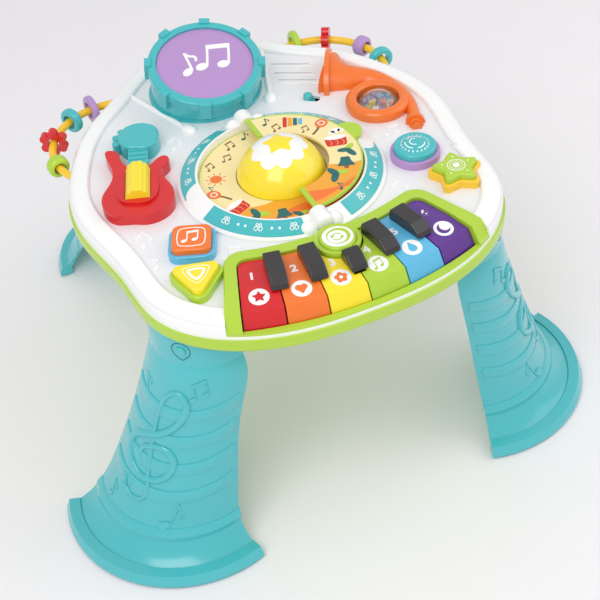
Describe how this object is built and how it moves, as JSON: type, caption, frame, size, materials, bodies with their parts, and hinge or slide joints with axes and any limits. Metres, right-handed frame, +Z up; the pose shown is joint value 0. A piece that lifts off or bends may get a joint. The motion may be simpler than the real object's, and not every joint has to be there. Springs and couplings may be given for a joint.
{
  "type": "musical activity table",
  "caption": "Toddler's activity table: a deck of keys, drum, horn, guitar, push buttons, flip page and bead wires on splayed legs.",
  "frame": {"origin": "centre of the bounding box's footprint, on the floor under the foot pads", "axes": "+X to the child's right, +Y from the child's edge towards the drum, +Z up"},
  "size_m": [0.582, 0.615, 0.3577],
  "materials": {
    "shell_white": "glossy",
    "leg_teal": "glossy",
    "pad_rubber": "matte",
    "screw_steel": "satin",
    "cell_dark": "satin",
    "board_green": "satin",
    "speaker_black": "matte",
    "bed_grey": "satin",
    "lime_plastic": "glossy",
    "red_plastic": "glossy",
    "orange_plastic": "glossy",
    "yellow_plastic": "glossy",
    "sky_plastic": "glossy",
    "violet_plastic": "glossy",
    "charcoal_plastic": "glossy",
    "teal_plastic": "glossy",
    "page_cream": "satin",
    "head_purple": "satin",
    "clear_window": "glossy",
    "wire_yellow": "glossy"
  },
  "bodies": {
    "table": {"top_shell": "shell_white", "lower_tray": "lime_plastic", "leg_front_left": "leg_teal", "leg_front_right": "leg_teal", "leg_back_left": "leg_teal", "leg_back_right": "leg_teal", "foot_pads": "pad_rubber", "case_screws": "screw_steel", "battery_door": "shell_white", "batteries": "cell_dark", "circuit_board": "board_green", "speaker": "speaker_black", "keyboard_frame": "lime_plastic", "key_bed": "bed_grey", "black_keys": "charcoal_plastic", "ring_base": "shell_white", "ring_inlays": "teal_plastic", "disc_plate": "page_cream", "drum_shell": "teal_plastic", "horn_body": "orange_plastic", "horn_window": "clear_window", "horn_beads": "violet_plastic", "guitar_body": "red_plastic", "guitar_neck": "teal_plastic", "roller_axle": "screw_steel", "square_base": "sky_plastic", "triangle_base": "lime_plastic", "round_base": "violet_plastic", "star_base": "yellow_plastic", "wire_left": "wire_yellow", "wire_right": "wire_yellow"},
    "key_1_body": {"key_1": "red_plastic"},
    "key_2_body": {"key_2": "orange_plastic"},
    "key_3_body": {"key_3": "yellow_plastic"},
    "key_4_body": {"key_4": "lime_plastic"},
    "key_5_body": {"key_5": "sky_plastic"},
    "key_6_body": {"key_6": "violet_plastic"},
    "square_button_body": {"square_button": "orange_plastic"},
    "triangle_button_body": {"triangle_button": "yellow_plastic"},
    "round_button_body": {"round_button": "teal_plastic"},
    "star_button_body": {"star_button": "lime_plastic"},
    "mode_button_body": {"mode_button": "lime_plastic"},
    "centre_dome_body": {"centre_dome": "yellow_plastic"},
    "drum_head_body": {"drum_head": "head_purple"},
    "switch_knob_body": {"switch_knob": "teal_plastic"},
    "flip_page_body": {"flip_page": "page_cream"},
    "guitar_roller_body": {"guitar_roller": "yellow_plastic"},
    "link_ring_left_body": {"link_ring_left": "violet_plastic"},
    "round_ring_left_body": {"round_ring_left": "teal_plastic"},
    "flower_bead_left_body": {"flower_bead_left": "red_plastic"},
    "band_bead_left_body": {"band_bead_left": "lime_plastic"},
    "link_ring_right_body": {"link_ring_right": "lime_plastic"},
    "flower_bead_right_body": {"flower_bead_right": "red_plastic"},
    "band_bead_right_body": {"band_bead_right": "violet_plastic"},
    "round_ring_right_body": {"round_ring_right": "teal_plastic"},
    "catch_front_left_body": {"catch_front_left": "leg_teal"},
    "catch_front_right_body": {"catch_front_right": "leg_teal"},
    "catch_back_left_body": {"catch_back_left": "leg_teal"},
    "catch_back_right_body": {"catch_back_right": "leg_teal"}
  },
  "joints": [
    {"name": "key_1_press", "type": "hinge", "parent": "table", "child": "key_1_body", "pos_m": [-0.07441, -0.21071, 0.286], "axis": [0.9588, -0.284, 0], "range_deg": [0, 2.2], "stiffness_Nm_per_rad": 0.6, "springref_deg": -8.59},
    {"name": "key_2_press", "type": "hinge", "parent": "table", "child": "key_2_body", "pos_m": [-0.04505, -0.2176, 0.286], "axis": [0.9851, -0.1719, 0], "range_deg": [0, 2.2], "stiffness_Nm_per_rad": 0.6, "springref_deg": -8.59},
    {"name": "key_3_press", "type": "hinge", "parent": "table", "child": "key_3_body", "pos_m": [-0.01508, -0.22107, 0.286], "axis": [0.9983, -0.0576, 0], "range_deg": [0, 2.2], "stiffness_Nm_per_rad": 0.6, "springref_deg": -8.59},
    {"name": "key_4_press", "type": "hinge", "parent": "table", "child": "key_4_body", "pos_m": [0.01508, -0.22107, 0.286], "axis": [0.9983, 0.0576, 0], "range_deg": [0, 2.2], "stiffness_Nm_per_rad": 0.6, "springref_deg": -8.59},
    {"name": "key_5_press", "type": "hinge", "parent": "table", "child": "key_5_body", "pos_m": [0.04505, -0.2176, 0.286], "axis": [0.9851, 0.1719, 0], "range_deg": [0, 2.2], "stiffness_Nm_per_rad": 0.6, "springref_deg": -8.59},
    {"name": "key_6_press", "type": "hinge", "parent": "table", "child": "key_6_body", "pos_m": [0.07441, -0.21071, 0.286], "axis": [0.9588, 0.284, 0], "range_deg": [0, 2.2], "stiffness_Nm_per_rad": 0.6, "springref_deg": -8.59},
    {"name": "square_press", "type": "slide", "parent": "table", "child": "square_button_body", "axis": [0, 0, -1], "range_m": [0, 0.0025], "stiffness_N_per_m": 150, "springref_m": -0.004},
    {"name": "triangle_press", "type": "slide", "parent": "table", "child": "triangle_button_body", "axis": [0, 0, -1], "range_m": [0, 0.0025], "stiffness_N_per_m": 150, "springref_m": -0.004},
    {"name": "round_press", "type": "slide", "parent": "table", "child": "round_button_body", "axis": [0, 0, -1], "range_m": [0, 0.0025], "stiffness_N_per_m": 150, "springref_m": -0.004},
    {"name": "star_press", "type": "slide", "parent": "table", "child": "star_button_body", "axis": [0, 0, -1], "range_m": [0, 0.0025], "stiffness_N_per_m": 150, "springref_m": -0.004},
    {"name": "mode_press", "type": "slide", "parent": "table", "child": "mode_button_body", "axis": [0, 0, -1], "range_m": [0, 0.002], "stiffness_N_per_m": 150, "springref_m": -0.004},
    {"name": "dome_press", "type": "slide", "parent": "table", "child": "centre_dome_body", "axis": [0, 0, -1], "range_m": [0, 0.0025], "stiffness_N_per_m": 150, "springref_m": -0.004},
    {"name": "drum_press", "type": "slide", "parent": "table", "child": "drum_head_body", "axis": [0, 0.2419, -0.9703], "range_m": [0, 0.002], "stiffness_N_per_m": 300, "springref_m": -0.004},
    {"name": "switch_slide", "type": "slide", "parent": "table", "child": "switch_knob_body", "axis": [0.766, -0.6428, 0], "range_m": [0, 0.008]},
    {"name": "page_flip", "type": "hinge", "parent": "table", "child": "flip_page_body", "pos_m": [0, -0.1095, 0.3166], "axis": [0, -1, 0], "range_deg": [0, 180]},
    {"name": "roller_spin", "type": "hinge", "parent": "table", "child": "guitar_roller_body", "pos_m": [-0.12995, -0.06769, 0.3142], "axis": [0.3502, 0.9367, 0], "continuous": true},
    {"name": "link_ring_left_run", "type": "hinge", "parent": "table", "child": "link_ring_left_body", "pos_m": [-0.1115, 0.0395, 0.291], "axis": [0, 0, -1], "range_deg": [-4, 5]},
    {"name": "round_ring_left_run", "type": "hinge", "parent": "table", "child": "round_ring_left_body", "pos_m": [-0.1115, 0.0395, 0.291], "axis": [0, 0, -1], "range_deg": [-12, 9]},
    {"name": "flower_bead_left_run", "type": "hinge", "parent": "table", "child": "flower_bead_left_body", "pos_m": [-0.1115, 0.0395, 0.291], "axis": [0, 0, -1], "range_deg": [-17, 12]},
    {"name": "band_bead_left_run", "type": "hinge", "parent": "table", "child": "band_bead_left_body", "pos_m": [-0.1115, 0.0395, 0.291], "axis": [0, 0, -1], "range_deg": [-4, 9]},
    {"name": "link_ring_right_run", "type": "hinge", "parent": "table", "child": "link_ring_right_body", "pos_m": [0.1115, 0.0395, 0.291], "axis": [0, 0, 1], "range_deg": [-8, 1]},
    {"name": "flower_bead_right_run", "type": "hinge", "parent": "table", "child": "flower_bead_right_body", "pos_m": [0.1115, 0.0395, 0.291], "axis": [0, 0, 1], "range_deg": [-10, 14]},
    {"name": "band_bead_right_run", "type": "hinge", "parent": "table", "child": "band_bead_right_body", "pos_m": [0.1115, 0.0395, 0.291], "axis": [0, 0, 1], "range_deg": [-9, 14]},
    {"name": "round_ring_right_run", "type": "hinge", "parent": "table", "child": "round_ring_right_body", "pos_m": [0.1115, 0.0395, 0.291], "axis": [0, 0, 1], "range_deg": [-5, 9]},
    {"name": "catch_front_left_press", "type": "slide", "parent": "table", "child": "catch_front_left_body", "axis": [0.7071, 0.7071, 0], "range_m": [0, 0.005], "stiffness_N_per_m": 200, "springref_m": -0.003},
    {"name": "catch_front_right_press", "type": "slide", "parent": "table", "child": "catch_front_right_body", "axis": [-0.7071, 0.7071, 0], "range_m": [0, 0.005], "stiffness_N_per_m": 200, "springref_m": -0.003},
    {"name": "catch_back_left_press", "type": "slide", "parent": "table", "child": "catch_back_left_body", "axis": [0.4695, -0.8829, 0], "range_m": [0, 0.005], "stiffness_N_per_m": 200, "springref_m": -0.003},
    {"name": "catch_back_right_press", "type": "slide", "parent": "table", "child": "catch_back_right_body", "axis": [-0.4695, -0.8829, 0], "range_m": [0, 0.005], "stiffness_N_per_m": 200, "springref_m": -0.003}
  ]
}
